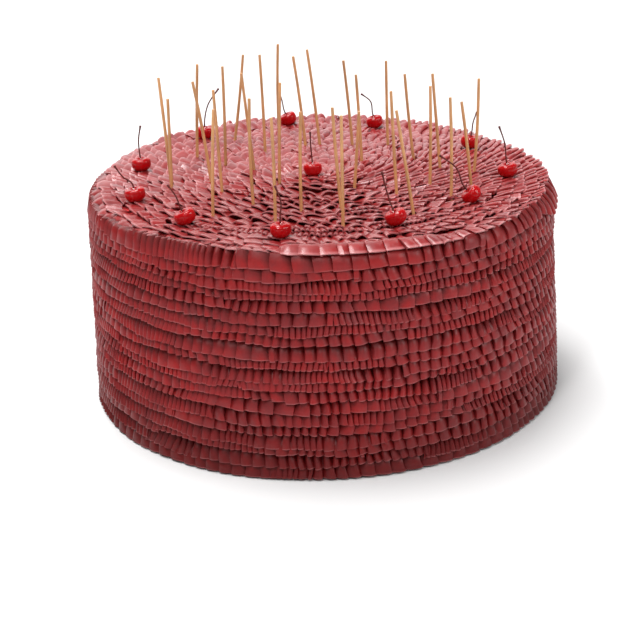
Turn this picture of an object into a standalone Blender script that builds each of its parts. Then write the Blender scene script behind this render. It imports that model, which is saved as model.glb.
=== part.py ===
"""A tall drum cake covered in pleated dark red icing ribbons.

Eleven stemmed cherries stand in a ring near the rim and one in the middle, among thin bare tapers
in three loose rings. Metres, +Z up. The origin is the centre of the base, and -Y is the front.
"""
import math
import random

import bmesh
import bpy
from mathutils import Vector

MM = 0.001
GAP = 0.3 * MM

# Drum, measured over the free edges of its ruffles
BASE_RADIUS = 228 * MM
SHOULDER_RADIUS = 219 * MM
RIM_RADIUS = 214.5 * MM
HEIGHT = 204 * MM
TOP_FALL = math.tan(math.radians(1.5))
STEPS = 72

# Ruffle rows down the side: each hangs from a tucked root to a free edge
SIDE_ROWS = 20
FIRST_EDGE_DROP = 12 * MM
LAST_EDGE_HEIGHT = 4 * MM
ROW_DEPTH = 6 * MM
ROW_OVERLAP = 1.6 * MM
FOOT_INSET = 7 * MM

# Ruffle rings on the top: each stands from a low root to a crest that leans outwards
TOP_RINGS = 10
RING_DEPTH = 5.5 * MM
RING_LEAN = 0.85

# Pleats: how far a fold tucks in and slides under its neighbour, as a share of a step, and how far
# a row wanders up and down, its flaps sag and its folds lift
TUCK_DEPTH = 4.2 * MM
RING_TUCK = 3.5 * MM
FLAT_TUCKS = (0, 0.25)
FOLD_TUCKS = (0.6, 1)
FOLD_SKEW = 0.35
FLAP_STEPS = (1, 1, 1, 2, 2, 3)
ROW_WANDER = 1.4 * MM
WANDER_WAVES = ((2, 0.7), (5, 0.3))
EDGE_SAG = 0.8 * MM
FOLD_LIFT = 0.7 * MM
ROOT_SCATTER = 0.5 * MM
SEED = 11

# Cherries: width and height of one fruit, its dimple, and how high its middle stands over the crests
CHERRY_WIDTH = 18.6 * MM
CHERRY_HEIGHT = 15.5 * MM
CHERRY_SPREAD = 0.8 * MM
CHERRY_RISE = 5 * MM
CHERRY_LOBE = 0.05
DIMPLE_DEPTH = 2.4 * MM
CHERRY_SIDES = 10
CHERRY_BANDS = 7
CHERRY_RING_RADIUS = 177 * MM
CHERRY_RING_START = 99
CHERRY_RING_COUNT = 11

# Cherry stems
STEM_RADIUS = 0.75 * MM
STEM_TIP_RADIUS = 1.2 * MM
STEM_CLEARANCE = 0.9 * MM
STEM_COLLAR = 3 * MM

# One row for each cherry of the ring, clockwise from the back: degrees on from its even place, mm
# outwards, then its bends: cherry tilt, stem lean and end lean in degrees to the right, and stem
# length in mm
CHERRY_PLACES = (
    (0, 15, -22, -10, -16, 28),
    (4, 5, -12, -8, -48, 29),
    (-4, -2, 12, 8, 20, 25),
    (-5, 0, -8, -6, -18, 37),
    (-1, -17, -42, -22, -50, 42),
    (-2, -18, -20, -16, -12, 36),
    (-4, 0, 0, 5, -16, 33),
    (-1, 1, -22, -18, -32, 26),
    (5, 3, -8, -46, -32, 27),
    (6, -4, -4, 0, 12, 32),
    (-2, 5, 4, 14, 36, 44),
)
MIDDLE_CHERRY_BENDS = (-2, -3, 0, 30)
MIDDLE_CHERRY_SPOT = (-6 * MM, 2 * MM)

# Candles: thin tapers pushed into the top
CANDLE_RADIUS = 1.5 * MM
CANDLE_SUNK = 14 * MM
CANDLE_BOWS = (0.4 * MM, 1.4 * MM)
CANDLE_JOINTS = (0, 0.34, 0.68, 1)

# Three loose rings of candles: ring radius in mm, then for each candle its bearing in degrees from +X,
# mm outwards, lean in degrees to the right, and height in mm over the crests
CANDLE_RINGS = (
    (55, ((159, 12, -4, 93), (-159, -15, 3, 92), (-47, -8, 5, 69), (49, 9, -2, 84))),
    (102, (
        (8, 15, -4, 91),
        (31, 7, -5, 82),
        (55, 22, 0, 85),
        (72, 11, -4, 85),
        (89, 4, -5, 97),
        (97, 2, -5, 91),
        (122, -2, 0, 97),
        (154, -1, 2, 95),
        (-174, 1, -6, 94),
        (-153, -1, -1, 94),
        (-127, -2, 1, 94),
        (-100, -2, 2, 86),
        (-80, 0, -3, 90),
        (-42, -9, -2, 94),
        (-16, 4, 1, 90),
    )),
    (141, (
        (2, 6, 3, 88),
        (103, 35, 2, 89),
        (123, 15, 9, 87),
        (150, -3, 4, 92),
        (-172, -1, -2, 100),
        (-169, -1, 2, 82),
        (-130, 6, 4, 93),
        (-107, -3, 1, 90),
        (-83, 5, 1, 94),
        (-55, -2, -8, 90),
        (-32, -3, 0, 90),
        (-13, 2, -6, 76),
    )),
)

ICING_RED = (0.27, 0.035, 0.042, 1)
CHERRY_RED = (0.55, 0.004, 0.006, 1)
STEM_BROWN = (0.05, 0.012, 0.008, 1)
WAX_OCHRE = (0.52, 0.29, 0.11, 1)


def clear_scene():
    for obj in list(bpy.data.objects):
        bpy.data.objects.remove(obj, do_unlink=True)


def new_collection(name):
    collection = bpy.data.collections.new(name)
    bpy.context.scene.collection.children.link(collection)
    return collection


def material(name, colour, roughness):
    made = bpy.data.materials.new(name)
    made.use_nodes = True
    shader = made.node_tree.nodes["Principled BSDF"]
    shader.inputs["Base Color"].default_value = colour
    shader.inputs["Roughness"].default_value = roughness
    shader.inputs["Metallic"].default_value = 0
    made.diffuse_color = colour
    return made


def as_mesh(obj):
    """Puts a mesh object, its modifiers applied and its doubles welded, in the object's place."""
    bpy.context.view_layer.update()
    graph = bpy.context.evaluated_depsgraph_get()
    mesh = bpy.data.meshes.new_from_object(obj.evaluated_get(graph))
    solid = bmesh.new()
    solid.from_mesh(mesh)
    bmesh.ops.remove_doubles(solid, verts=solid.verts, dist=0.01 * MM)
    solid.to_mesh(mesh)
    solid.free()
    made = bpy.data.objects.new(obj.name, mesh)
    made.matrix_world = obj.matrix_world.copy()
    for collection in obj.users_collection:
        collection.objects.link(made)
    name = obj.name
    bpy.data.objects.remove(obj, do_unlink=True)
    made.name = name
    return made


def crest_height(x):
    """Height of the top's crests at x, as the top falls a little towards +X."""
    return HEIGHT - x * TOP_FALL


def edge_radius(height):
    """Radius of the side's free edges, which narrows towards the shoulder."""
    return BASE_RADIUS + (SHOULDER_RADIUS - BASE_RADIUS) * height / HEIGHT


def drum_profile():
    """Radius, height, kind and row of each point, from the top's middle over the rim to the base."""
    pitch = RIM_RADIUS / TOP_RINGS
    points = [(0, HEIGHT - RING_DEPTH, "fixed", 0)]
    for ring in range(TOP_RINGS):
        points.append(((ring + RING_LEAN) * pitch, HEIGHT, "crest", ring))
        if ring < TOP_RINGS - 1:
            points.append(((ring + 1) * pitch, HEIGHT - RING_DEPTH, "valley", ring))
    first_edge = HEIGHT - FIRST_EDGE_DROP
    drop = (first_edge - LAST_EDGE_HEIGHT) / (SIDE_ROWS - 1)
    for row in range(SIDE_ROWS):
        height = first_edge - row * drop
        radius = edge_radius(height)
        points.append((radius, height, "edge", row))
        if row < SIDE_ROWS - 1:
            points.append((radius - ROW_DEPTH, height + ROW_OVERLAP, "root", row))
    points.append((BASE_RADIUS - FOOT_INSET, LAST_EDGE_HEIGHT + ROW_OVERLAP, "fixed", 0))
    points.append((BASE_RADIUS - FOOT_INSET, 0, "fixed", 0))
    points.append((0, 0, "fixed", 0))
    return points


def fold_row(rng):
    """Tuck of each step round one ruffle, 0 on a flap to 1 in the fold between two flaps."""
    tucks = []
    while len(tucks) < STEPS:
        tucks.extend([rng.uniform(*FLAT_TUCKS) for _ in range(rng.choice(FLAP_STEPS))])
        tucks.append(rng.uniform(*FOLD_TUCKS))
    return tucks[:STEPS]


class Ruffle:
    """The folds, wander and sag of one row or ring."""

    def __init__(self, rng):
        self.tucks = fold_row(rng)
        self.skew = rng.choice((-1, 1)) * FOLD_SKEW * math.tau / STEPS
        self.sags = [rng.uniform(-1, 1) for _ in range(STEPS)]
        self.phases = [rng.uniform(0, math.tau) for _ in WANDER_WAVES]

    def wander(self, angle):
        waves = zip(WANDER_WAVES, self.phases)
        return ROW_WANDER * sum(share * math.sin(count * angle + phase) for (count, share), phase in waves)


def pleated(vert, kind, ruffle, is_lowest):
    """Place of a drum vertex once its ruffle is folded."""
    radius = math.hypot(vert.x, vert.y)
    angle = math.atan2(vert.y, vert.x)
    step = round(angle / math.tau * STEPS) % STEPS
    tuck = ruffle.tucks[step]
    if is_lowest and step % (STEPS // 4) == 0:
        # The widest row keeps its full reach along X and Y, so the cake stands centred
        tuck = 0
    height = vert.z
    if kind in ("edge", "root") and not is_lowest:
        height += ruffle.wander(angle)
    if kind == "edge":
        radius -= tuck * TUCK_DEPTH
        height += ruffle.sags[step] * EDGE_SAG * (1 - tuck) + tuck * FOLD_LIFT
    elif kind == "root":
        radius -= tuck * ROOT_SCATTER
    elif kind == "crest":
        radius += RING_TUCK / 2 - tuck * RING_TUCK
        height -= tuck * EDGE_SAG
    elif kind == "valley":
        radius += ruffle.sags[step] * ROOT_SCATTER
    if kind in ("edge", "crest"):
        angle += tuck * ruffle.skew
    height -= vert.x * TOP_FALL * vert.z / HEIGHT
    return Vector((radius * math.cos(angle), radius * math.sin(angle), height))


def make_drum(parts, cutters, icing):
    """The whole ruffled cake: a turned drum, then its rows folded, then its seats and holes cut."""
    profile = drum_profile()
    mesh = bpy.data.meshes.new("ruffled_cake")
    edges = [(i, i + 1) for i in range(len(profile) - 1)]
    mesh.from_pydata([(radius, 0, height) for radius, height, _, _ in profile], edges, [])
    drum = bpy.data.objects.new("ruffled_cake", mesh)
    parts.objects.link(drum)
    screw = drum.modifiers.new("turn", "SCREW")
    screw.axis = "Z"
    screw.steps = STEPS
    screw.render_steps = STEPS
    screw.use_merge_vertices = True
    screw.merge_threshold = 0.01 * MM
    drum = as_mesh(drum)

    rng = random.Random(SEED)
    ruffles = {("side", row): Ruffle(rng) for row in range(SIDE_ROWS)}
    ruffles.update({("top", ring): Ruffle(rng) for ring in range(TOP_RINGS)})
    for vert in drum.data.vertices:
        place = vert.co.copy()
        reach = math.hypot(place.x, place.y)
        _, _, kind, row = min(
            profile, key=lambda point: math.hypot(point[0] - reach, point[1] - place.z)
        )
        band = "side" if kind in ("edge", "root") else "top"
        is_lowest = kind == "edge" and row == SIDE_ROWS - 1
        vert.co = pleated(place, kind, ruffles[band, row], is_lowest)

    cut = drum.modifiers.new("seats", "BOOLEAN")
    cut.operation = "DIFFERENCE"
    cut.operand_type = "COLLECTION"
    cut.collection = cutters
    cut.solver = "EXACT"
    drum.data.materials.clear()
    drum.data.materials.append(icing)
    return drum


def cherry_mesh(name, width, height):
    """A squat fruit with two soft lobes and a dimple on top for its stem."""
    mesh = bpy.data.meshes.new(name)
    fruit = bmesh.new()
    bmesh.ops.create_uvsphere(fruit, u_segments=CHERRY_SIDES, v_segments=CHERRY_BANDS, radius=1)
    for vert in fruit.verts:
        angle = math.atan2(vert.co.y, vert.co.x)
        lobe = 1 + CHERRY_LOBE * math.cos(2 * angle)
        vert.co.x *= lobe * width / 2
        vert.co.y *= lobe * width / 2
        vert.co.z *= height / 2
    pole = max(fruit.verts, key=lambda vert: vert.co.z)
    pole.co.z -= DIMPLE_DEPTH
    fruit.to_mesh(mesh)
    fruit.free()
    return mesh


def tube(name, points, radii):
    """A round rod through the points, with flat closed ends."""
    curve = bpy.data.curves.new(name, "CURVE")
    curve.dimensions = "3D"
    curve.bevel_depth = 1
    curve.bevel_resolution = 1
    curve.use_fill_caps = True
    spline = curve.splines.new("POLY")
    spline.points.add(len(points) - 1)
    for point, place, radius in zip(spline.points, points, radii):
        point.co = (*place, 1)
        point.radius = radius
    return bpy.data.objects.new(name, curve)


def leaning(degrees):
    """A unit step upwards that leans to the right by the angle."""
    angle = math.radians(degrees)
    return Vector((math.sin(angle), 0, math.cos(angle)))


def make_cherry(number, spot, bends, rng, parts, cutters, red, brown):
    """One cherry in its seat with its stem, both on an empty at the cherry's middle."""
    tilt, lean, end_lean, length = bends
    turn = rng.uniform(0, math.pi)
    width = CHERRY_WIDTH + rng.uniform(-1, 1) * CHERRY_SPREAD
    seat = bpy.data.objects.new(f"cherry_spot_{number:02d}", None)
    seat.location = (spot[0], spot[1], crest_height(spot[0]) + CHERRY_RISE)
    seat.rotation_euler = (0, math.radians(tilt), 0)
    parts.objects.link(seat)

    fruit = bpy.data.objects.new(
        f"cherry_{number:02d}", cherry_mesh(f"cherry_{number:02d}", width, CHERRY_HEIGHT)
    )
    fruit.rotation_euler = (0, 0, turn)
    fruit.parent = seat
    fruit.data.materials.append(red)
    fruit.data.shade_smooth()
    parts.objects.link(fruit)

    # The stem bends in the world's X and Z, so its steps are turned back into the tilted seat
    foot = Vector((0, 0, CHERRY_HEIGHT / 2 - DIMPLE_DEPTH + STEM_CLEARANCE))
    half = (length * MM - STEM_COLLAR) / 2
    collar = foot + Vector((0, 0, STEM_COLLAR))
    middle = collar + leaning(lean - tilt) * half
    tip = middle + leaning(end_lean - tilt) * half
    stem = tube(
        f"cherry_stem_{number:02d}",
        (foot, collar, middle, tip),
        (STEM_RADIUS, STEM_RADIUS, STEM_RADIUS, STEM_TIP_RADIUS),
    )
    stem.parent = seat
    stem.data.materials.append(brown)
    parts.objects.link(stem)

    hollow = bpy.data.objects.new(
        f"cherry_seat_{number:02d}",
        cherry_mesh(f"cherry_seat_{number:02d}", width + 2 * GAP, CHERRY_HEIGHT + 2 * GAP),
    )
    hollow.rotation_euler = (0, 0, turn)
    hollow.parent = seat
    add_cutter(hollow, cutters)


def add_cutter(obj, cutters):
    obj.hide_render = True
    obj.display_type = "WIRE"
    cutters.objects.link(obj)


def make_cherries(parts, cutters, red, brown):
    rng = random.Random(SEED + 1)
    for index, (nudge, outwards, *bends) in enumerate(CHERRY_PLACES):
        bearing = math.radians(CHERRY_RING_START - index * 360 / CHERRY_RING_COUNT + nudge)
        radius = CHERRY_RING_RADIUS + outwards * MM
        spot = (radius * math.cos(bearing), radius * math.sin(bearing))
        make_cherry(index + 1, spot, bends, rng, parts, cutters, red, brown)
    make_cherry(
        CHERRY_RING_COUNT + 1, MIDDLE_CHERRY_SPOT, MIDDLE_CHERRY_BENDS, rng, parts, cutters, red, brown
    )


def make_candle(number, spot, lean, height, rng, parts, cutters, wax):
    """One slightly bent taper and the snug hole it stands in."""
    foot = Vector((spot[0], spot[1], crest_height(spot[0]))) - leaning(lean) * CANDLE_SUNK
    length = height * MM / math.cos(math.radians(lean)) + CANDLE_SUNK
    bow_bearing = rng.uniform(0, math.tau)
    bow = Vector((math.cos(bow_bearing), math.sin(bow_bearing), 0)) * rng.uniform(*CANDLE_BOWS)
    points = []
    for part in CANDLE_JOINTS:
        points.append(foot + leaning(lean) * length * part + bow * math.sin(math.pi * part))
    candle = tube(f"candle_{number:02d}", points, [CANDLE_RADIUS] * len(points))
    candle.data.materials.append(wax)
    parts.objects.link(candle)

    downwards = (points[0] - points[1]).normalized()
    points[0] = points[0] + downwards * GAP
    hole = tube(f"candle_hole_{number:02d}", points, [CANDLE_RADIUS + GAP] * len(points))
    cutters.objects.link(hole)
    hole = as_mesh(hole)
    hole.hide_render = True
    hole.display_type = "WIRE"


def make_candles(parts, cutters, wax):
    rng = random.Random(SEED + 2)
    number = 0
    for ring_radius, candles in CANDLE_RINGS:
        for bearing, outwards, lean, height in candles:
            number += 1
            radius = (ring_radius + outwards) * MM
            angle = math.radians(bearing)
            spot = (radius * math.cos(angle), radius * math.sin(angle))
            make_candle(number, spot, lean, height, rng, parts, cutters, wax)


def main():
    clear_scene()
    parts = new_collection("black_forest_cake")
    cutters = new_collection("cutters")
    icing = material("ruffle_icing", ICING_RED, 0.55)
    red = material("cherry_glaze", CHERRY_RED, 0.15)
    brown = material("cherry_stem", STEM_BROWN, 0.6)
    wax = material("candle_wax", WAX_OCHRE, 0.45)
    make_cherries(parts, cutters, red, brown)
    make_candles(parts, cutters, wax)
    make_drum(parts, cutters, icing)


main()
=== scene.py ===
"""Dresses the black forest cake.

Pleated icing ribbons, glazed cherries with their stems, and thin tapers.
"""
import math
import random
from typing import NamedTuple

import bpy
import numpy as np
from bpy.props import FloatProperty, FloatVectorProperty, IntProperty, PointerProperty
from mathutils import Matrix, Vector


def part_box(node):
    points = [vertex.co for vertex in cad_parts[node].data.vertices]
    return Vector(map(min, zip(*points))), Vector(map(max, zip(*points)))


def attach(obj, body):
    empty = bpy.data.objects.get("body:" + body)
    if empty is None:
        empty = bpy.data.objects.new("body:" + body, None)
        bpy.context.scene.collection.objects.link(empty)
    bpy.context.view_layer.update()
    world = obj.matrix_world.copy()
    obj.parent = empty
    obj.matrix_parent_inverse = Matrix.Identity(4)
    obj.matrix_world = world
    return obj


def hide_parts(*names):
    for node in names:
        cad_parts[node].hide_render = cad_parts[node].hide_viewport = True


bl_info = {
    "name": "Black forest cake",
    "version": (1, 0, 0),
    "blender": (4, 5, 0),
    "location": "View3D > Sidebar > Cake",
    "description": "Pleated icing, cherries and tapers for a drum cake",
    "category": "Add Mesh",
}

MM = 0.001
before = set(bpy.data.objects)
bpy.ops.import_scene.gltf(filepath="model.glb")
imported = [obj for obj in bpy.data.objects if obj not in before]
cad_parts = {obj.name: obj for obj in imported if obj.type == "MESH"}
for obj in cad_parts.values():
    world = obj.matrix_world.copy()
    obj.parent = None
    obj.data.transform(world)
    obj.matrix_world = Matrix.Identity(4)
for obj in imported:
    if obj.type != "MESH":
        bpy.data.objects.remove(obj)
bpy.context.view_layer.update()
CAKE_NODE = "ruffled_cake"
CAKE_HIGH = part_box(CAKE_NODE)[1]
CHERRY_COUNT = sum(name.startswith("cherry_stem_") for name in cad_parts)
CANDLE_COUNT = sum(name.startswith("candle_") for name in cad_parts)

# The drum, as its solid has it: the free edges of the side lean in towards the shoulder,
# and the top falls a little towards +X
BASE_RADIUS = CAKE_HIGH.x
SHOULDER_RADIUS = BASE_RADIUS - 9 * MM
RIM_RADIUS = BASE_RADIUS - 13.5 * MM
HEIGHT = 204 * MM
TOP_FALL = math.tan(math.radians(1.5))

# How far a top ribbon runs out from its root, and the usual lengths of one piped stroke
TOP_RIBBON = 14 * MM
SIDE_STROKE = 260 * MM
TOP_STROKE = 130 * MM

# Rows in one piece of the side, and the rings at which a piece of the top ends
ROWS_PER_PIECE = 4
LAST_RINGS = (9, 14, 17)

# How much lower the hems of the first rows hang at the left, in mm
LONGER_HEMS = (5, 3, 1.2)

# How close the points of one ring of a rod's solid lie
STEM_RING = 1.6 * MM
TAPER_RING = 2 * MM

SIDE_SEED, TOP_SEED, CHERRY_SEED, TAPER_SEED = 21, 33, 8, 5

# Name, place, height that it points at, width and height, watts
LIGHTS = (
    ("back_left_softbox", (-0.9, 1.8, 1.15), 0.2, (1.6, 1.3), 3),
    ("back_panel", (-0.4, 3.0, 1.5), 0.2, (5.0, 2.4), 55),
    ("front_softbox", (-0.2, -1.9, 2.3), 0.1, (3.2, 2.0), 34),
    ("right_softbox", (2.4, -1.0, 1.4), 0.1, (1.4, 1.0), 24),
    ("back_lamp", (-0.35, 0.9, 2.2), 0.2, (0.3, 0.3), 7),
    ("front_lamp", (-0.6, -1.3, 2.2), 0.2, (0.3, 0.3), 16.5),
)

# The camera's tilt down and its roll in degrees, and how far it stands to the side
CAMERA_TILT, CAMERA_ROLL, CAMERA_ASIDE = 22.642, -2.531, -0.0055


def crest_height(x):
    """Height of the top's crests at x."""
    return HEIGHT - x * TOP_FALL


def edge_radius(height):
    """Radius of the side's free edges at a height."""
    return BASE_RADIUS + (SHOULDER_RADIUS - BASE_RADIUS) * height / HEIGHT


class IcingSettings(bpy.types.PropertyGroup):
    side_rows: IntProperty(
        name="Side rows", description="Rows of ribbon down the side", default=20, min=2
    )
    top_rings: IntProperty(
        name="Top rings", description="Rings of ribbon on the top", default=20, min=2
    )
    ribbon: FloatProperty(
        name="Ribbon",
        description="Length of a side ribbon from root to hem",
        default=15 * MM,
        unit="LENGTH",
    )
    flare: FloatProperty(
        name="Flare",
        description="How far a hem stands out from its root",
        default=7 * MM,
        unit="LENGTH",
    )
    thickness: FloatProperty(
        name="Thickness",
        description="Thickness of the piped ribbon",
        default=1.0 * MM,
        unit="LENGTH",
    )
    colour: FloatVectorProperty(
        name="Icing",
        description="Red of the icing",
        subtype="COLOR",
        size=3,
        default=(0.25, 0.0135, 0.015),
    )


class FruitSettings(bpy.types.PropertyGroup):
    dimple: FloatProperty(
        name="Dimple",
        description="Depth of the dimple round the stem",
        default=3.8 * MM,
        unit="LENGTH",
    )
    colour: FloatVectorProperty(
        name="Cherry",
        description="Red of the glazed fruit",
        subtype="COLOR",
        size=3,
        default=(0.41, 0.001, 0.003),
    )
    stem_colour: FloatVectorProperty(
        name="Stem",
        description="Brown of the stems",
        subtype="COLOR",
        size=3,
        default=(0.07, 0.013, 0.011),
    )


class TaperSettings(bpy.types.PropertyGroup):
    colour: FloatVectorProperty(
        name="Wax",
        description="Ochre of the tapers",
        subtype="COLOR",
        size=3,
        default=(0.59, 0.3, 0.122),
    )


class StageSettings(bpy.types.PropertyGroup):
    lens: FloatProperty(name="Lens", description="Focal length in millimetres", default=80.16)
    height: FloatProperty(
        name="Height", description="Camera's height", default=0.5962, unit="LENGTH"
    )
    distance: FloatProperty(
        name="Distance", description="Camera's distance", default=1.2978, unit="LENGTH"
    )


class Term:
    """A value in a material's tree: arithmetic on it adds Math nodes."""

    def __init__(self, tree, socket):
        self.tree = tree
        self.socket = socket

    def _math(self, operation, *values):
        node = self.tree.nodes.new("ShaderNodeMath")
        node.operation = operation
        for slot, value in zip(node.inputs, values):
            if isinstance(value, Term):
                self.tree.links.new(value.socket, slot)
            else:
                slot.default_value = value
        return Term(self.tree, node.outputs[0])

    def __add__(self, other):
        return self._math("ADD", self, other)

    __radd__ = __add__

    def __mul__(self, other):
        return self._math("MULTIPLY", self, other)

    __rmul__ = __mul__

    def __sub__(self, other):
        return self._math("SUBTRACT", self, other)

    def __rsub__(self, other):
        return self._math("SUBTRACT", other, self)


class Finish:
    """A material and the nodes that vary it."""

    def __init__(self, name, roughness, coat=0.0, coat_roughness=0.1):
        self.material = bpy.data.materials.new(name)
        self.material.use_nodes = True
        self.tree = self.material.node_tree
        self.shader = self.tree.nodes["Principled BSDF"]
        self.shader.inputs["Roughness"].default_value = roughness
        self.shader.inputs["Coat Weight"].default_value = coat
        self.shader.inputs["Coat Roughness"].default_value = coat_roughness

    def node(self, kind, settings, inputs, output=0):
        """Adds one node: its settings or ramp stops, then its sockets' values or links."""
        node = self.tree.nodes.new(kind)
        for name, value in settings.items():
            if name == "stops":
                ramp = node.color_ramp
                while len(ramp.elements) < len(value):
                    ramp.elements.new(0.5)
                for element, (place, level) in zip(ramp.elements, value):
                    element.position = place
                    element.color = (level, level, level, 1)
            else:
                setattr(node, name, value)
        for key, value in inputs.items():
            if isinstance(value, Term):
                self.tree.links.new(value.socket, node.inputs[key])
            else:
                node.inputs[key].default_value = value
        return Term(self.tree, node.outputs[output])

    def place(self):
        """Where a point of the piece lies."""
        return self.node("ShaderNodeTexCoord", {}, {}, "Object")

    def part(self, vector, letter):
        """One of a vector's three numbers."""
        return self.node("ShaderNodeSeparateXYZ", {}, {"Vector": vector}, letter)

    def noise(self, place, scale, detail, stretch=(1, 1, 1)):
        mapped = self.node("ShaderNodeMapping", {}, {"Vector": place, "Scale": stretch})
        inputs = {"Vector": mapped, "Scale": scale, "Detail": detail}
        return self.node("ShaderNodeTexNoise", {}, inputs)

    def ramp(self, factor, *stops):
        """Grey levels by a factor; each stop is a place and a level."""
        return self.node("ShaderNodeValToRGB", {"stops": stops}, {"Fac": factor})

    def mix(self, factor, first, second):
        """A blend of two colours, by the socket numbers of the Mix node's colour form."""
        inputs = {0: factor, 6: first, 7: second}
        return self.node("ShaderNodeMix", {"data_type": "RGBA"}, inputs, 2)

    def bump(self, height, distance, strength):
        inputs = {"Height": height, "Distance": distance, "Strength": strength}
        return self.node("ShaderNodeBump", {}, inputs)

    def feed(self, **sockets):
        """Links values to the shader's sockets and gives the finished material."""
        for name, value in sockets.items():
            self.tree.links.new(value.socket, self.shader.inputs[name.replace("_", " ")])
        return self.material


def shade(colour, factor):
    """A colour made lighter or darker, with its alpha."""
    return tuple(channel * factor for channel in colour) + (1,)


def icing_finish(
    name, colour, gloss, depth, hem_width, hem_share, hem_fading, root_share, gap
):
    """Buttercream: greyer and redder patches, painted shade in the folds, under the hems and
    towards the foot, pale thin hems that are partly a paler edge and partly a painted highlight,
    and fine drag lines.

    depth is how strongly the painted shade darkens the folds, gap how light that painted shade
    is, and root_share how far the painted shade darkens a ribbon's root as well. The hem values
    are the pale hem's width, its strength and how much of it fades away in places.
    """
    finish = Finish(name, 0.4, coat_roughness=0.17)
    finish.shader.inputs["Specular IOR Level"].default_value = 0.2 + gloss
    place = finish.place()
    patches = finish.noise(place, 75, 3)
    broad = finish.noise(place, 17, 2)
    fine = finish.noise(place, 260, 3)
    ribbon = finish.node("ShaderNodeUVMap", {"uv_map": "ribbon"}, {})
    # U of the ribbon map is the crease's painted shade mask, V the level from root to hem
    fold, fall = finish.part(ribbon, "X"), finish.part(ribbon, "Y")
    # The pale hem: partly a paler thin edge, partly a painted highlight
    hem = finish.ramp(fall, (0.0, 0.0), (1 - hem_width, 0.0), (0.99, 1.0))
    # Painted shade over a ribbon's root, where the hem above overhangs it
    root = finish.ramp(fall, (0.3, 1.0), (0.8, 0.0))
    # Painted shade in the creases of the folds, strongest towards the root
    fold_shade = finish.ramp(fold * (1.15 - fall * 0.4) + root * 0.35, (0.14, 0.0), (0.8, 1.0))
    # Painted shade: darker towards the foot of the cake
    foot = finish.ramp(finish.part(place, "Z") * (1 / HEIGHT), (0.0, 0.08), (0.34, 1.0))
    red, green, blue = colour
    grey = (red * 0.74, green * 1.35, blue * 1.35, 1)
    bright = (red * 1.15, green * 0.9, blue * 0.85, 1)
    # The colour of the painted shade
    dark = (red * 0.3 * gap, green * 0.14 * gap, blue * 0.12 * gap, 1)
    # The pale hem's colour: partly a paler edge, partly a painted highlight
    pale = (min(red * 1.85, 1), green * 12, blue * 11, 1)
    tone = finish.ramp(patches * 0.65 + broad * 0.35, (0.36, 0.0), (0.64, 1.0))
    body = finish.mix(tone, grey, bright)
    # How much painted shade each point takes: in the creases, at the root and towards the foot
    lit = (1 - fold_shade * depth) * (1 - root * depth * root_share) * foot
    shaded = finish.mix(1 - lit, body, dark)
    drag = finish.noise(place, 420, 2, (1, 1, 0.25))
    # Where the pale hem, partly a painted highlight, shows in full and where it fades
    hem_showing = finish.ramp(finish.noise(place, 32, 2), (0.35, 1 - hem_fading), (0.62, 1.0))
    return finish.feed(
        Base_Color=finish.mix(hem * (1 - fold_shade * 0.6) * hem_showing * hem_share, shaded, pale),
        Roughness=fine * 0.24 + 0.3,
        Coat_Weight=(1 - fold_shade) * (patches * 1.4 + 0.3) * gloss,
        Normal=finish.bump(fine * 0.6 + drag * 0.4, 0.4 * MM, 0.7),
    )


def core_finish(colour):
    """The cake's body in the gaps between ribbons, its red painted lighter than the icing's to
    stand in for light that gets into the gaps.
    """
    finish = Finish("core_icing", 0.6)
    patches = finish.noise(finish.place(), 60, 3)
    return finish.feed(
        # Painted light: the body is 2.4 to 3.4 times as light as the icing's red, so that the
        # gaps it shows in come out dark red rather than black
        Base_Color=finish.mix(patches, shade(colour, 2.4), shade(colour, 3.4)),
        Normal=finish.bump(patches, 1 * MM, 0.8),
    )


def cherry_finish(colour):
    """Glazed fruit: patchy red, with painted shade towards the top round the dimple, under a wet
    clear glaze.
    """
    finish = Finish("wet_cherry", 0.5, coat=0.6, coat_roughness=0.04)
    finish.shader.inputs["Specular IOR Level"].default_value = 0.03
    place = finish.place()
    patches = finish.noise(place, 90, 2)
    wrinkles = finish.noise(place, 420, 3)
    finish.shader.inputs["Subsurface Weight"].default_value = 0.8
    finish.shader.inputs["Subsurface Radius"].default_value = (0.008, 0.001, 0.001)
    finish.shader.inputs["Subsurface Scale"].default_value = 1.0
    ball = finish.node("ShaderNodeUVMap", {"uv_map": "UVMap"}, {})
    # Painted shade: darker towards the top, to take down the brightness of the light from above
    top_shade = finish.ramp(finish.part(ball, "Y"), (0.5, 0.0), (0.85, 1.0))
    body = finish.mix(patches, shade(colour, 0.75), shade(colour, 1.2))
    return finish.feed(
        Base_Color=finish.mix(top_shade * 0.6, body, shade(colour, 0.4)),
        Normal=finish.bump(wrinkles, 0.25 * MM, 0.14),
    )


def stem_finish(colour):
    """Dry brown stem with a redder grain along it."""
    finish = Finish("dry_stem", 0.55)
    finish.shader.inputs["Specular IOR Level"].default_value = 0.25
    grain = finish.noise(finish.place(), 500, 3, (1, 1, 0.2))
    red, green, blue = colour
    return finish.feed(
        Base_Color=finish.mix(grain, shade(colour, 0.6), (red * 2.4, green * 2, blue * 2, 1)),
        Normal=finish.bump(grain, 0.2 * MM, 0.6),
    )


def wax_finish(colour):
    """Ochre wax, cloudy along its length, with faint streaks."""
    finish = Finish("ochre_wax", 0.42, coat=0.1, coat_roughness=0.3)
    place = finish.place()
    clouds = finish.noise(place, 110, 3, (1, 1, 0.35))
    streaks = finish.noise(place, 900, 2, (1, 1, 0.05))
    cloudy = finish.ramp(clouds, (0.3, 0.0), (0.7, 1.0))
    tone = finish.mix(cloudy, shade(colour, 0.78), shade(colour, 1.18))
    finish.shader.inputs["Subsurface Weight"].default_value = 0.1
    finish.shader.inputs["Subsurface Radius"].default_value = (0.003, 0.0015, 0.0006)
    return finish.feed(Base_Color=tone, Normal=finish.bump(streaks, 0.2 * MM, 0.5))


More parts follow.
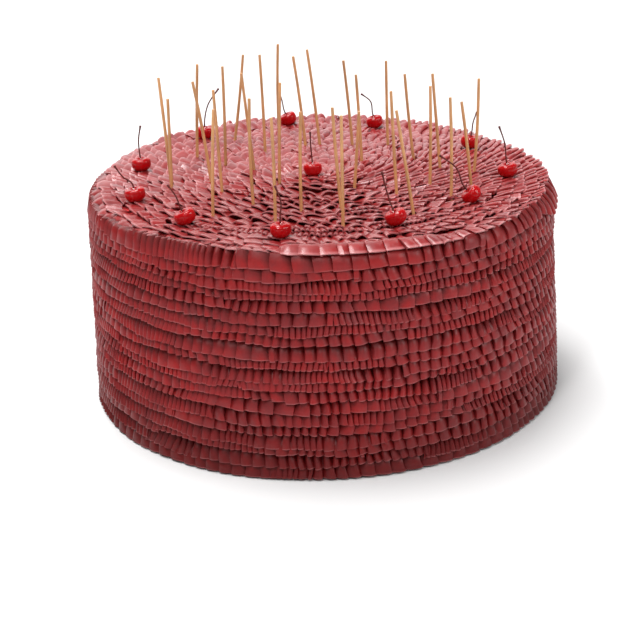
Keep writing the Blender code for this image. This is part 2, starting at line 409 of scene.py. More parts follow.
def floor_finish():
    """Matt pale grey, very faintly clouded."""
    finish = Finish("pale_floor", 0.6)
    faint = finish.noise(finish.place(), 3, 2)
    white = (1, 1, 1)
    return finish.feed(Base_Color=finish.mix(faint, shade(white, 0.63), shade(white, 0.65)))


def deselect_all():
    if bpy.context.mode != "OBJECT":
        bpy.ops.object.mode_set(mode="OBJECT")
    bpy.ops.object.select_all(action="DESELECT")


def activate(obj):
    """Selects one object alone and makes it the active one."""
    deselect_all()
    obj.select_set(True)
    bpy.context.view_layer.objects.active = obj


def edit(obj, mode, is_picked):
    """Goes into edit mode with only the elements selected that the test picks."""
    activate(obj)
    bpy.ops.object.mode_set(mode="EDIT")
    bpy.ops.mesh.select_mode(type=mode)
    bpy.ops.mesh.select_all(action="DESELECT")
    bpy.ops.object.mode_set(mode="OBJECT")
    for item in obj.data.vertices if mode == "VERT" else obj.data.edges:
        item.select = is_picked(item)
    bpy.ops.object.mode_set(mode="EDIT")


def leave_edit():
    bpy.ops.object.mode_set(mode="OBJECT")


def get_points(mesh):
    """A mesh's points as rows of x, y, z."""
    flat = np.empty(len(mesh.vertices) * 3)
    mesh.vertices.foreach_get("co", flat)
    return flat.reshape(-1, 3)


def set_points(mesh, points):
    mesh.vertices.foreach_set("co", np.ascontiguousarray(points, float).ravel())
    mesh.update()


def copy_of(obj, name):
    """A copy with a mesh of its own."""
    made = obj.copy()
    made.data = obj.data.copy()
    made.name = name
    made.data.name = name
    bpy.context.scene.collection.objects.link(made)
    return made


def apply_modifier(obj, kind, **settings):
    activate(obj)
    modifier = obj.modifiers.new(kind.lower(), kind)
    for name, value in settings.items():
        setattr(modifier, name, value)
    bpy.ops.object.modifier_apply(modifier=modifier.name)


def smooth(obj, degrees):
    activate(obj)
    bpy.ops.object.shade_smooth_by_angle(angle=math.radians(degrees))


def finish_piece(obj, material, slot, *nodes):
    """Gives a piece its finish and ties it to the frame."""
    obj.data.materials.clear()
    obj.data.materials.append(material)
    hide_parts(*nodes)
    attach(obj, "root")


def solid_points(node):
    """The points of a node's solid, each once."""
    return np.unique(np.round(get_points(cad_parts[node].data), 6), axis=0)


def station_centres(node, reach):
    """Middles of the rings of points that a rod's solid is made of, from its lowest end.

    Points that lie within reach of each other belong to one ring.
    """
    rings = []
    left = list(solid_points(node))
    while left:
        ring = [left.pop(0)]
        grown = True
        while grown:
            near = [p for p in left if min(np.linalg.norm(p - q) for q in ring) < reach]
            left = [p for p in left if not any(p is q for q in near)]
            ring.extend(near)
            grown = bool(near)
        rings.append(np.mean(ring, axis=0))
    return np.array(sorted(rings, key=lambda middle: middle[2]))


def along_spline(knots, share):
    """Points and headings at shares (0 to 1) of a smooth curve through the knots."""
    lengths = np.concatenate([[0], np.cumsum(np.linalg.norm(np.diff(knots, axis=0), axis=1))])
    lengths /= lengths[-1]
    slopes = np.gradient(knots, lengths, axis=0)
    span = np.clip(np.searchsorted(lengths, share, side="right") - 1, 0, len(knots) - 2)
    step = (lengths[span + 1] - lengths[span])[:, None]
    t = (share - lengths[span])[:, None] / step
    start, end = knots[span], knots[span + 1]
    leaving, arriving = slopes[span] * step, slopes[span + 1] * step
    place = (2 * t**3 - 3 * t**2 + 1) * start + (t**3 - 2 * t**2 + t) * leaving
    place += (3 * t**2 - 2 * t**3) * end
    place += (t**3 - t**2) * arriving
    heading = (6 * t**2 - 6 * t) * start + (3 * t**2 - 4 * t + 1) * leaving
    heading += (6 * t - 6 * t**2) * end
    heading += (3 * t**2 - 2 * t) * arriving
    return place, heading / np.linalg.norm(heading, axis=1)[:, None]


def straight_rod(name, length, radius, sides, cuts, rounding):
    """A straight rod on the Z axis with rounded ends, cut into rings so that it can bend."""
    deselect_all()
    bpy.ops.mesh.primitive_cylinder_add(
        vertices=sides, radius=radius, depth=length, location=(0, 0, length / 2)
    )
    rod = bpy.context.active_object
    rod.name = name
    activate(rod)
    bpy.ops.object.transform_apply(location=True, rotation=True, scale=True)

    def rise_of(edge):
        first, second = (rod.data.vertices[i].co.z for i in edge.vertices)
        return abs(first - second)

    def is_rim(edge):
        return rise_of(edge) < 0.001 * MM

    edit(rod, "EDGE", is_rim)
    bpy.ops.mesh.bevel(offset=rounding, segments=3, profile=0.5)
    leave_edit()

    def is_upright(edge):
        return rise_of(edge) > length / 2

    edit(rod, "EDGE", is_upright)
    bpy.ops.mesh.subdivide(number_cuts=cuts)
    leave_edit()
    return rod


def bend_rod(rod, knots, length, thickness):
    """Bends a straight rod of that length along the knots; thickness scales it at each share."""
    points = get_points(rod.data)
    share = np.clip(points[:, 2] / length, 0, 1)
    place, heading = along_spline(knots, share)
    side = np.cross(heading, (0.0, 1.0, 0.0))
    side /= np.linalg.norm(side, axis=1)[:, None]
    front = np.cross(heading, side)
    scale = thickness(share)
    bent = place + (side * points[:, :1] + front * points[:, 1:2]) * scale[:, None]
    set_points(rod.data, bent)


class FoldKind(NamedTuple):
    """How one kind of fold is piped; pairs are a least and a most."""

    width: tuple  # mm
    depth: tuple  # mm
    sharp: float  # how narrow its crease is
    lean: tuple  # how far its crease slips along the ribbon, in widths
    loop: float  # how far it doubles back, in widths
    run: tuple  # how many come in a row
    columns: int  # grid columns in one fold
    crowd: float  # how closely the columns crowd at its crease
    dip: float = 0.7  # how far its crease sinks, in depths
    shade: float = 1.0  # how dark its crease is painted, the strength of a painted shade


TIGHT = FoldKind((4.3, 6.2), (4.0, 5.4), 1.2, (0.16, 0.36), 0.04, (5, 14), 9, 0.3)
LEAF = FoldKind((6.8, 9.2), (5.2, 6.6), 1.0, (0.12, 0.36), 0.03, (3, 9), 9, 0.3)
BOX = FoldKind((9, 13), (4.6, 6.2), 2.4, (0.24, 0.4), 0.0, (2, 7), 11, 0.5)
SHINGLE = FoldKind((11, 17), (4.0, 5.6), 4.0, (0.28, 0.42), 0.0, (2, 6), 12, 0.6)
WIDE = FoldKind((15, 21), (3.0, 4.6), 5.0, (0.3, 0.42), 0.0, (2, 6), 12, 0.7)
LOOPS = FoldKind((4.4, 6.4), (4.0, 5.4), 0.8, (0.0, 0.12), 0.1, (6, 12), 10, 0.1, 0.65, 0.3)
WAVES = FoldKind((7, 13), (2.6, 4.8), 1.1, (-0.1, 0.35), 0.0, (2, 6), 9, 0.2, 0.85, 0.32)
RIPPLES = FoldKind((13, 25), (3.2, 5.0), 1.5, (-0.1, 0.3), 0.0, (2, 5), 12, 0.3, 0.85, 0.32)
PETALS = FoldKind((9, 14), (3.4, 5.2), 2.6, (0.35, 0.52), 0.0, (2, 6), 11, 0.5)
FLATS = FoldKind((10, 20), (3.2, 5.4), 3.6, (0.3, 0.5), 0.0, (1, 5), 12, 0.6, 0.6)
SLATS = FoldKind((8, 12), (5.0, 6.6), 1.6, (0.36, 0.5), 0.0, (3, 8), 11, 0.5)
LAPELS = FoldKind((12, 19), (5.4, 7.4), 5.0, (0.3, 0.46), 0.0, (2, 6), 12, 0.7)

LEFT_FOLDS = ((TIGHT, 0.34), (LEAF, 0.34), (BOX, 0.2), (SHINGLE, 0.12))
RIGHT_FOLDS = ((TIGHT, 0.2), (LEAF, 0.14), (BOX, 0.44), (SHINGLE, 0.22))
SHOULDER_FOLDS = ((LEAF, 0.2), (BOX, 0.25), (SHINGLE, 0.55))
FRONT_SHOULDER_FOLDS = ((WIDE, 0.85), (BOX, 0.15))
RIM_FOLDS = ((PETALS, 0.2), (LAPELS, 0.8))


class TopArea(NamedTuple):
    """How one part of the top is piped."""

    folds: tuple  # kinds of fold, each with its share
    rise: float  # mm from root to free edge
    bulge: float  # mm
    skew: float  # mm that the free edge slips along
    wander: float  # how uneven the ribbons lie


FRONT_TOP = TopArea(((LOOPS, 0.06), (WAVES, 0.42), (RIPPLES, 0.52)), 4.3, 0.3, 2, 0.95)
FRONT_EDGE = TopArea(((FLATS, 0.75), (WAVES, 0.25)), 3.4, 0.3, 2, 1.4)
CURLS = TopArea(((LOOPS, 0.8), (WAVES, 0.2)), 4.0, 0.1, 0, 1.1)
RIGHT_TOP = TopArea(((SLATS, 0.85), (WAVES, 0.15)), 3.4, 0.5, 9, 1.0)
LEFT_TOP = TopArea(((FLATS, 0.6), (WAVES, 0.4)), 4.2, 0.2, -4, 1.5)
BACK_TOP = TopArea(((WAVES, 0.35), (PETALS, 0.65)), 3.2, 1.0, 0, 1.0)


def slow_wave(rng, angle, shares, size):
    """A smooth wander round the cake: a sum of a few waves of random phase."""
    total = np.zeros_like(angle)
    for count, share in shares:
        total += share * np.sin(count * angle + rng.uniform(0, math.tau))
    return total * size


def fold_columns(rng, length, choices, side):
    """Arrays along one strip, a value for each grid column.

    They are its place along the strip, how far it is tucked in, dips and slips along, and its
    hem's height, its puff and its crease, the mask of the painted shade in the crease. side is 1
    or -1, the way that the folds lean.
    """
    folds = []
    total = 0
    while total < length:
        kinds, weights = zip(*choices)
        kind = rng.choices(kinds, weights)[0]
        for _ in range(rng.randint(*kind.run)):
            folds.append((kind, rng.uniform(*kind.width) * MM))
            total += folds[-1][1]
            if total >= length:
                break
    stretch = length / total
    place, tuck, dip, slip, hem, puff, crease = [], [], [], [], [], [], []
    start = 0.0
    drop = rng.uniform(-1, 1)
    for kind, width in folds:
        width *= stretch
        steps = np.arange(kind.columns) / kind.columns
        t = steps + kind.crowd * np.sin(math.tau * steps) / math.tau
        bend = np.sin(math.pi * t) ** (2 * kind.sharp)
        lean = rng.uniform(*kind.lean) * side
        next_drop = rng.uniform(-1, 1)
        change = np.clip((t - 0.3) / 0.4, 0, 1)
        place.append(start + width * t)
        tuck.append(bend * rng.uniform(*kind.depth) * MM)
        dip.append(tuck[-1] * kind.dip)
        slip.append(width * (lean * bend + kind.loop * np.sin(2 * math.tau * t)))
        hem.append(drop + (next_drop - drop) * change)
        puff.append((1 - bend) * min(width / (10 * MM), 1.3))
        # The crease's painted shade, as strong as the kind's shade
        crease.append(bend * kind.shade)
        start += width
        drop = next_drop
    place.append([start])
    for values in (tuck, dip, slip, puff, crease):
        values.append([values[0][0]])
    hem.append([drop])
    return [np.concatenate(values) for values in (place, tuck, dip, slip, hem, puff, crease)]


# Where a ribbon's rows of points lie, from its root (0) to its hem (1)
LEVELS = np.array([0, 0.22, 0.45, 0.68, 0.88, 1.0])


def ribbon_strip(name, crease, shape):
    """A grid laid along a strip: shape gives the place of each column at each level."""
    deselect_all()
    count, rows = len(crease) - 1, len(LEVELS) - 1
    bpy.ops.mesh.primitive_grid_add(x_subdivisions=count, y_subdivisions=rows, size=1)
    strip = bpy.context.active_object
    strip.name = name
    points = get_points(strip.data)
    column = np.rint((points[:, 0] + 0.5) * count).astype(int)
    level = np.rint((points[:, 1] + 0.5) * rows).astype(int)
    set_points(strip.data, shape(column, LEVELS[level]))
    # The ribbon map holds the crease's painted shade mask along the strip and the level across it
    layer = strip.data.uv_layers[0]
    layer.name = "ribbon"
    loops = np.empty(len(strip.data.loops), int)
    strip.data.loops.foreach_get("vertex_index", loops)
    uv = np.column_stack([crease[column[loops]], LEVELS[level][loops]])
    layer.data.foreach_set("uv", uv.ravel())
    return strip


def join_strips(strips, name):
    deselect_all()
    for strip in strips:
        strip.select_set(True)
    bpy.context.view_layer.objects.active = strips[0]
    bpy.ops.object.join()
    joined = bpy.context.active_object
    joined.name = name
    joined.data.name = name
    return joined


def side_choices(row, angle):
    """Which folds a side stroke is piped with: broad at the shoulder, squarer to the right."""
    if row == 0:
        if math.sin(angle) < -0.8:
            return FRONT_SHOULDER_FOLDS
        return SHOULDER_FOLDS if math.cos(angle) > -0.55 else LEFT_FOLDS
    return RIGHT_FOLDS if math.cos(angle) > 0.1 else LEFT_FOLDS


def near_bearing(angle, middle, flat, fade):
    """1 within flat degrees of a bearing, and down to 0 over the next fade degrees."""
    away = np.abs((angle - math.radians(middle) + math.pi) % math.tau - math.pi)
    return np.clip((math.radians(flat + fade) - away) / math.radians(fade), 0, 1)


def side_strip(name, rng, row, base_height, span, settings):
    """One piped stroke of a side row, from one bearing to another."""
    start, end = span
    radius = edge_radius(base_height)
    side = 1 if rng.random() < 0.85 else -1
    choices = side_choices(row, (start + end) / 2)
    columns = fold_columns(rng, (end - start) * radius, choices, side)
    place, tuck, _, slip, hem, puff, crease = columns
    angle = start + place / radius
    nothing = np.zeros_like(angle)

    # How full the folds are along the row, flatter in parts of the left
    quiet = 0.3 * near_bearing(angle, 205, 30, 40)
    full = 0.92 - quiet + slow_wave(rng, angle, ((4, 0.4), (9, 0.5), (19, 0.5)), 0.3 + quiet)
    full = np.clip(full, 0.2, 1.15)
    tuck = tuck * full
    slip = slip * np.clip(full + 0.2, 0, 1)
    # The crease's painted shade is weaker where the folds are flatter
    crease = crease * np.clip(full + 0.1, 0, 1)

    # How unevenly it lies; the lowest row keeps close to the foot
    along = place / place[-1] - 0.5
    loose = 0.25 if row == settings.side_rows - 1 else 1.0
    wander = slow_wave(rng, angle, ((2, 0.5), (5, 0.35), (11, 0.35), (23, 0.25)), 1.9 * MM)
    wander = (wander + (rng.uniform(-1.2, 1.2) + rng.uniform(-2.2, 2.2) * along) * MM) * loose
    sway = slow_wave(rng, angle, ((3, 0.5), (7, 0.5), (17, 0.4)), 2.4 * MM)
    curl = slow_wave(rng, angle, ((4, 0.5), (9, 0.5), (21, 0.4)), 1.6 * MM)
    inset = rng.uniform(0.2, 0.9) + slow_wave(rng, angle, ((6, 0.5), (13, 0.5)), 0.4)
    inset = inset * MM + 0.35 * MM

    # How it meets the rim: lowered where the rim hangs over or is rounded, proud at the right
    hang, rounding = rim_hang(angle), rim_rounding(angle)
    lowered = (2.8 - 1.6 * rim_tucked(angle) + 1.2 * hang + 6 * rounding) * MM
    longer, proud = nothing, nothing
    if row < len(LONGER_HEMS):
        longer = near_bearing(angle, 213, 25, 45) * LONGER_HEMS[row] * MM
    if row == 0:
        proud = near_bearing(angle, -12, 7, 6)
        longer = longer + (2 * MM * hang + 6 * MM * proud)
    length = settings.ribbon * (0.95 if row == 0 else 1)

    def shape(column, level):
        bulge = np.sin(math.pi * level)
        turn = angle[column] + (
            slip[column] * (0.6 + 0.4 * level)
            + sway[column] * (level - 0.5)
            + curl[column] * bulge
        ) / radius
        height = base_height + wander[column] + hem[column] * 0.6 * MM * level * loose
        height = height + length * (1 - level) - longer[column] * level
        height = np.minimum(height, HEIGHT - lowered[column])
        out = settings.flare * (level - 1 + 0.16 * bulge)
        out = out + 0.5 * MM * (np.clip((level - 0.8) / 0.2, 0, 1) - 1)
        out = out - tuck[column] * (1.05 - 0.5 * level) - inset[column]
        out = out + puff[column] * 0.9 * MM * bulge
        reach = radius - 0.3 * MM + np.minimum(out, -0.1 * MM)
        reach = reach + 5 * MM * proud[column] * level
        x, y = reach * np.cos(turn), reach * np.sin(turn)
        fallen = height - x * TOP_FALL * np.clip(height / HEIGHT, 0, 1)
        return np.column_stack([x, y, np.maximum(fallen, 0.4 * MM)])

    return ribbon_strip(name, crease, shape)


def rim_hang(angle):
    """Where the outermost ring hangs over the rim: at the front."""
    return np.maximum(near_bearing(angle, -81, 17, 4), 0.5 * near_bearing(angle, -62, 10, 12))


def rim_rounding(angle):
    """Where the rim is rounded off: at the left."""
    return near_bearing(angle, 191, 22, 30)


def rim_tucked(angle):
    """Where the outermost ring is tucked in behind the first row: beside the hanging part."""
    return np.maximum(near_bearing(angle, 225, 18, 20), near_bearing(angle, -32, 16, 14))


def top_area(ring_radius, angle):
    """How a top stroke is piped, by its place on the cake."""
    bearing = math.degrees(angle) % 360
    if 238 < bearing < 325:
        if ring_radius > RIM_RADIUS - 33 * MM:
            return FRONT_EDGE
        return CURLS if ring_radius > RIM_RADIUS - 54 * MM else FRONT_TOP
    if 120 < bearing <= 238:
        return LEFT_TOP
    return BACK_TOP if 65 < bearing <= 120 else RIGHT_TOP


def top_strip(name, rng, ring_radius, span, is_rim):
    """One piped stroke of a top ring: it rises from its root outwards to its free edge."""
    start, end = span
    middle = (start + end) / 2
    area = top_area(ring_radius, middle)
    choices = RIM_FOLDS if is_rim and rim_hang(middle) > 0.3 else area.folds
    columns = fold_columns(rng, (end - start) * ring_radius, choices, 1)
    place, tuck, dip, slip, hem, puff, crease = columns
    angle = start + place / ring_radius

    # How unevenly it lies, by waves that are short enough for the ring
    along = place / place[-1] - 0.5
    turns = ring_radius / (10 * MM)
    rise = (area.rise + rng.uniform(-0.8, 1.0)) * MM
    free = area.wander * (0.4 if is_rim else 1.0)
    wander = slow_wave(rng, angle, ((3, 0.5), (8, 0.5), (15, 0.4)), 0.8 * MM)
    ripples = ((turns, 0.5), (turns * 1.7, 0.5), (turns * 2.6, 0.5))
    wander = wander + slow_wave(rng, angle, ripples, 1.9 * MM) * free
    wander = wander + (rng.uniform(-3.5, 3.5) * along + rng.uniform(-1.2, 1.2)) * MM * free
    lifts = ((turns * 0.8, 0.5), (turns * 1.5, 0.5), (turns * 2.9, 0.5))
    lift = slow_wave(rng, angle, lifts, 0.9 * MM)
    sways = ((3, 0.5), (turns * 0.7, 0.5), (turns * 1.9, 0.5))
    sway = slow_wave(rng, angle, sways, 3.0 * MM)
    skew = (area.skew + rng.uniform(-1.5, 1.5)) * MM

    # What the outermost rings do at the rim
    by_rim = ring_radius > RIM_RADIUS - 14 * MM
    hang = rim_hang(angle) if is_rim else np.zeros_like(angle)
    rounding = rim_rounding(angle) * (1 if is_rim else 0.15 * by_rim)
    back = near_bearing(angle, 92, 20, 30) * by_rim
    tucked = rim_tucked(angle) * is_rim

    def shape(column, level):
        amount = 0.4 + 0.6 * level**0.8
        turn = angle[column] + (
            slip[column] * amount + sway[column] * (level - 0.5) + skew * (level - 0.5)
        ) / ring_radius
        steep = hang[column]
        fold, drop = tuck[column] * amount, dip[column] * amount
        out = TOP_RIBBON * (level - 1) + wander[column] - fold * 0.45
        out = out + hem[column] * 1.2 * MM * level
        out = out + (2.6 * MM * level - fold * 0.4) * steep - 3 * MM * level * tucked[column]
        up = rise * (level - 1)
        up = up + area.bulge * MM * np.sin(math.pi * level) * (1 + puff[column]) / 2
        up = up - drop + (hem[column] * 0.7 - 0.7) * MM * level
        up = up + lift[column] * level - 0.4 * MM
        drooped = 6.2 - 8.2 * level - 10 * (1 - level) ** 6 + hem[column] * 1.2 * level
        drooped = drooped * MM - fold * 0.35
        up = np.minimum(up, 0.6 * MM) * (1 - steep) + drooped * steep
        up = up - 9.5 * MM * level**1.6 * rounding[column] + 2.5 * MM * back[column] * level
        reach = np.maximum(ring_radius + out, 0.5 * MM)
        x, y = reach * np.cos(turn), reach * np.sin(turn)
        return np.column_stack([x, y, crest_height(x) + up])

    return ribbon_strip(name, crease, shape)


def stroke_spans(rng, radius, stroke):
    """Bearings where the piped strokes of one row start and end, each a little over the next."""
    count = max(1, round(math.tau * radius / (stroke * rng.uniform(0.8, 1.2))))
    start = rng.uniform(0, math.tau)
    cuts = [start + math.tau * (index + rng.uniform(-0.2, 0.2)) / count for index in range(count)]
    cuts.append(cuts[0] + math.tau)
    overlap = 2 * MM / radius
    return [(a - overlap, b + overlap) for a, b in zip(cuts, cuts[1:])]


def thicken(obj, thickness):
    """Gives a ribbon its thickness, behind and under the face that shows."""
    apply_modifier(obj, "SOLIDIFY", thickness=thickness, offset=-1, use_even_offset=False)
    smooth(obj, degrees=46)


class CAKE_OT_core(bpy.types.Operator):
    """The cake's body, seen dark in the gaps between ribbons; its red is painted lighter to stand
    in for light in the gaps
    """

    bl_idname = "cake.core"
    bl_label = "Core"

    def execute(self, context):
        inset = 11.5 * MM
        top = HEIGHT - 9 * MM
        deselect_all()
        bpy.ops.mesh.primitive_cylinder_add(
            vertices=128, radius=BASE_RADIUS - inset, depth=top, location=(0, 0, top / 2)
        )
        core = context.active_object
        core.name = "cake_core"
        bpy.ops.object.transform_apply(location=True, rotation=True, scale=True)
        edit(core, "VERT", lambda vert: vert.co.z > top / 2)
        ratio = (SHOULDER_RADIUS - inset) / (BASE_RADIUS - inset)
        bpy.ops.transform.resize(value=(ratio, ratio, 1), center_override=(0, 0, top))
        leave_edit()

        def is_shoulder(edge):
            return all(core.data.vertices[i].co.z > top / 2 for i in edge.vertices)

        edit(core, "EDGE", is_shoulder)
        bpy.ops.mesh.bevel(offset=5 * MM, segments=4)
        leave_edit()
        points = get_points(core.data)
        points[:, 2] -= points[:, 0] * TOP_FALL * points[:, 2] / HEIGHT
        set_points(core.data, points)
        smooth(core, degrees=40)
        icing = core_finish(context.scene.cake_icing.colour)
        finish_piece(core, icing, "ruffle_icing", CAKE_NODE)
        return {"FINISHED"}


class CAKE_OT_side_ruffles(bpy.types.Operator):
    """Rows of pleated ribbon down the side"""

    bl_idname = "cake.side_ruffles"
    bl_label = "Side ruffles"

    def execute(self, context):
        settings = context.scene.cake_icing
        rng = random.Random(SIDE_SEED)
        # The side's icing: painted shade in the folds, at the roots and towards the foot, and
        # pale hems that are partly a painted highlight
        icing = icing_finish(
            "side_icing",
            settings.colour,
            gloss=0.07,
            depth=0.84,
            hem_width=0.07,
            hem_share=0.42,
            hem_fading=0.85,
            root_share=0.55,
            gap=1.15,
        )
        first, last = HEIGHT - 13.5 * MM, 1.8 * MM
        last_row = settings.side_rows - 1
        drop = (first - last) / last_row
        group, number = [], 1
        for row in range(settings.side_rows):
            uneven = rng.uniform(-1.5, 1.5) * MM if 0 < row < last_row else 0
            height = first - row * drop + uneven
            spans = stroke_spans(rng, edge_radius(height), SIDE_STROKE)
            for index, span in enumerate(spans):
                name = f"side_{row}_{index}"
                group.append(side_strip(name, rng, row, height, span, settings))
            if (row + 1) % ROWS_PER_PIECE == 0 or row == last_row:
                piece = join_strips(group, f"side_ruffles_{number}")
                thicken(piece, settings.thickness)
                finish_piece(piece, icing, "ruffle_icing", CAKE_NODE)
                group, number = [], number + 1
        return {"FINISHED"}


class CAKE_OT_top_ruffles(bpy.types.Operator):
    """Rings of pleated ribbon on the top"""

    bl_idname = "cake.top_ruffles"
    bl_label = "Top ruffles"

    def execute(self, context):
        settings = context.scene.cake_icing
        rng = random.Random(TOP_SEED)
        # The top's icing: painted shade in the folds, and pale hems that are partly a painted
        # highlight
        icing = icing_finish(
            "top_icing",
            settings.colour,
            gloss=0.27,
            depth=0.62,
            hem_width=0.17,
            hem_share=0.9,
            hem_fading=0.3,
            root_share=0.0,
            gap=2.7,
        )
        pitch = (RIM_RADIUS + 1.5 * MM) / settings.top_rings
        group, number = [], 1
        for ring in range(1, settings.top_rings + 1):
            radius = ring * pitch
            is_rim = ring == settings.top_rings
            for index, span in enumerate(stroke_spans(rng, radius, TOP_STROKE)):
                group.append(top_strip(f"top_{ring}_{index}", rng, radius, span, is_rim))
            if is_rim or ring in LAST_RINGS:
                piece = join_strips(group, f"top_ruffles_{number}")
                thicken(piece, settings.thickness * 1.15)
                finish_piece(piece, icing, "ruffle_icing", CAKE_NODE)
                group, number = [], number + 1
        return {"FINISHED"}


def cherry_points(ball, half_wide, half_tall, dimple_depth):
    """A unit ball's points made a cherry: dimpled on top, cleft, broad at the shoulder."""
    x, y, z = ball.T
    dimple = np.exp(-((np.hypot(x, y) / 0.42) ** 2)) * np.clip(z * 4, 0, 1)
    cleft = np.exp(-((x / 0.2) ** 2)) * np.clip(z + 0.35, 0, 1) * np.clip(-y, 0, 1)
    shoulder = 1 + 0.1 * np.exp(-(((z - 0.6) / 0.3) ** 2)) - 0.05 * np.clip(-z, 0, 1)
    shrink = 1 - 0.1 * cleft
    height = np.sign(z) * np.abs(z) ** 0.85 * half_tall * np.where(z < 0, 0.88, 1)
    return np.column_stack([
        x * half_wide * shrink * shoulder,
        y * half_wide * 0.95 * shrink * shoulder,
        height - dimple * dimple_depth,
    ])


class CAKE_OT_cherries(bpy.types.Operator):
    """The glazed cherries"""

    bl_idname = "cake.cherries"
    bl_label = "Cherries"

    def execute(self, context):
        settings = context.scene.cake_fruit
        glaze = cherry_finish(settings.colour)
        rng = random.Random(CHERRY_SEED)
        deselect_all()
        bpy.ops.mesh.primitive_uv_sphere_add(segments=40, ring_count=26, radius=1)
        ball = context.active_object
        smooth(ball, degrees=180)
        unit = get_points(ball.data)
        for number in range(1, CHERRY_COUNT + 1):
            node = f"cherry_{number:02d}"
            solid = solid_points(node)
            middle = solid.mean(axis=0)
            foot = station_centres(f"cherry_stem_{number:02d}", STEM_RING)[0]
            axis = (foot - middle) / np.linalg.norm(foot - middle)
            flat = solid - middle
            tall = flat @ axis
            half_wide = np.linalg.norm(flat - tall[:, None] * axis, axis=1).max() * 0.97
            half_tall = -tall.min()
            turn = math.radians(rng.uniform(-30, 30))
            lobe_way = np.array([math.cos(turn), math.sin(turn), 0.0])
            lobe_way -= (lobe_way @ axis) * axis
            lobe_way /= np.linalg.norm(lobe_way)
            cross_way = np.cross(axis, lobe_way)
            local = cherry_points(unit, half_wide, half_tall, settings.dimple)
            points = middle + local[:, :1] * lobe_way + local[:, 1:2] * cross_way
            points += local[:, 2:] * axis
            fruit = copy_of(ball, f"glazed_cherry_{number:02d}")
            set_points(fruit.data, points)
            finish_piece(fruit, glaze, "cherry_glaze", node)
        bpy.data.objects.remove(ball)
        return {"FINISHED"}


class CAKE_OT_stems(bpy.types.Operator):
    """The cherries' stems"""

    bl_idname = "cake.stems"
    bl_label = "Cherry stems"

    def execute(self, context):
        brown = stem_finish(context.scene.cake_fruit.stem_colour)
        length = 32 * MM
        rod = straight_rod(
            "stem", length, radius=1 * MM, sides=12, cuts=30, rounding=0.35 * MM
        )

        def thickness(share):
            neck = 0.15 * np.exp(-((share / 0.06) ** 2))
            knob = 0.5 * np.clip((share - 0.82) / 0.18, 0, 1) ** 1.5
            return 0.66 + neck + knob

        for number in range(1, CHERRY_COUNT + 1):
            node = f"cherry_stem_{number:02d}"
            stem = copy_of(rod, f"stalk_{number:02d}")
            bend_rod(stem, station_centres(node, STEM_RING), length, thickness)
            smooth(stem, degrees=50)
            finish_piece(stem, brown, "cherry_stem", node)
        bpy.data.objects.remove(rod)
        return {"FINISHED"}


class CAKE_OT_tapers(bpy.types.Operator):
    """The thin tapers"""

    bl_idname = "cake.tapers"
    bl_label = "Tapers"

    def execute(self, context):
        wax = wax_finish(context.scene.cake_taper.colour)
        rng = random.Random(TAPER_SEED)
        length = 105 * MM
        rod = straight_rod(
            "taper", length, radius=1.5 * MM, sides=16, cuts=28, rounding=0.4 * MM
        )
        for number in range(1, CANDLE_COUNT + 1):
            node = f"candle_{number:02d}"
            phase = rng.uniform(0, math.tau)

            def thickness(share):
                return 0.97 - 0.1 * share**3 + 0.03 * np.sin(share * 17 + phase)

            taper = copy_of(rod, f"taper_{number:02d}")
            bend_rod(taper, station_centres(node, TAPER_RING), length, thickness)
            smooth(taper, degrees=50)
            finish_piece(taper, wax, "candle_wax", node)
        bpy.data.objects.remove(rod)
        return {"FINISHED"}


def add_light(name, place, target, size, watts):
    """A rectangular soft light that the camera doesn't see, turned to a point."""
    bpy.ops.object.light_add(type="AREA", location=place)
    light = bpy.context.active_object
    light.name = name
    light.data.shape = "RECTANGLE"
    light.data.size, light.data.size_y = size
    light.data.energy = watts
    light.rotation_euler = (Vector(target) - Vector(place)).to_track_quat("-Z", "Y").to_euler()
    light.visible_camera = False


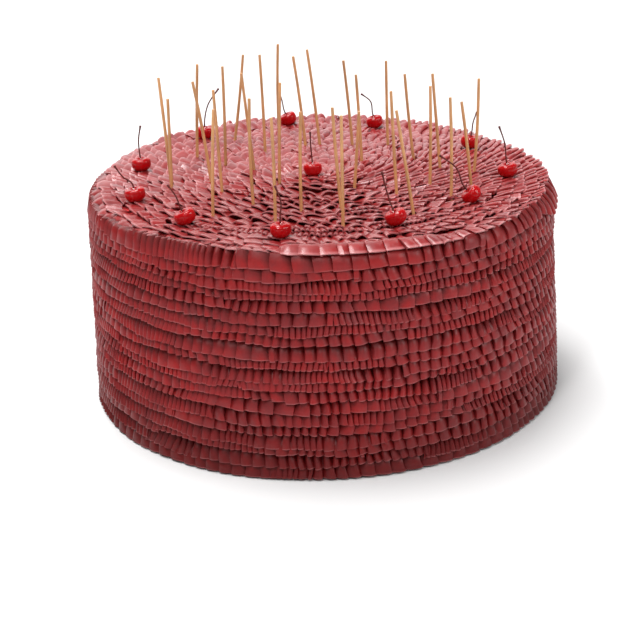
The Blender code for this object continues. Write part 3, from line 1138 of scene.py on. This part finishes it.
class CAKE_OT_stage(bpy.types.Operator):
    """Pale floor, soft studio light and the camera"""

    bl_idname = "cake.stage"
    bl_label = "Stage"

    def execute(self, context):
        settings = context.scene.cake_stage
        deselect_all()
        bpy.ops.mesh.primitive_plane_add(size=60)
        floor = context.active_object
        floor.name = "floor"
        floor.data.materials.append(floor_finish())

        bpy.ops.object.light_add(type="SUN", location=(-0.6, 0.3, 2))
        sky = context.active_object
        sky.name = "soft_sky"
        sky.data.energy = 3.05
        sky.data.angle = math.radians(30)
        sky.rotation_euler = Vector((0.2, -0.12, -1)).to_track_quat("-Z", "Y").to_euler()
        for name, place, target_height, size, watts in LIGHTS:
            add_light(name, place, (0, 0, target_height), size, watts)

        world = bpy.data.worlds.new("studio")
        world.use_nodes = True
        background = world.node_tree.nodes["Background"]
        background.inputs["Color"].default_value = (1, 1, 1, 1)
        background.inputs["Strength"].default_value = 0.22
        context.scene.world = world

        tilt, roll = math.radians(CAMERA_TILT), math.radians(CAMERA_ROLL)
        forward = Vector((0, math.cos(tilt), -math.sin(tilt)))
        right = Vector((1, 0, 0))
        up = right.cross(forward)
        across = right * math.cos(roll) + up * math.sin(roll)
        upwards = up * math.cos(roll) - right * math.sin(roll)
        bpy.ops.object.camera_add()
        camera = context.active_object
        camera.data.lens = settings.lens
        camera.data.sensor_width = 36
        turn = Matrix((across, upwards, -forward)).transposed()
        place = Vector((CAMERA_ASIDE, -settings.distance, settings.height))
        camera.matrix_world = Matrix.Translation(place) @ turn.to_4x4()
        context.scene.camera = camera
        context.scene.view_settings.view_transform = "Standard"
        return {"FINISHED"}


STEPS = ("core", "side_ruffles", "top_ruffles", "cherries", "stems", "tapers", "stage")


class CAKE_PT_panel(bpy.types.Panel):
    """The cake's settings and the steps that make it"""

    bl_idname = "CAKE_PT_panel"
    bl_label = "Black forest cake"
    bl_space_type = "VIEW_3D"
    bl_region_type = "UI"
    bl_category = "Cake"

    def draw(self, context):
        for group in GROUPS:
            settings = getattr(context.scene, group)
            for name in settings.bl_rna.properties.keys():
                if name not in ("rna_type", "name"):
                    self.layout.prop(settings, name)
        for step in STEPS:
            self.layout.operator(f"cake.{step}")


GROUPS = {
    "cake_icing": IcingSettings,
    "cake_fruit": FruitSettings,
    "cake_taper": TaperSettings,
    "cake_stage": StageSettings,
}
CLASSES = (
    *GROUPS.values(),
    CAKE_OT_core,
    CAKE_OT_side_ruffles,
    CAKE_OT_top_ruffles,
    CAKE_OT_cherries,
    CAKE_OT_stems,
    CAKE_OT_tapers,
    CAKE_OT_stage,
    CAKE_PT_panel,
)


def register():
    for cls in CLASSES:
        bpy.utils.register_class(cls)
    for name, group in GROUPS.items():
        setattr(bpy.types.Scene, name, PointerProperty(type=group))


def unregister():
    for name in GROUPS:
        delattr(bpy.types.Scene, name)
    for cls in reversed(CLASSES):
        bpy.utils.unregister_class(cls)


def main():
    register()
    for step in STEPS:
        getattr(bpy.ops.cake, step)()


if __name__ == "__main__":
    main()
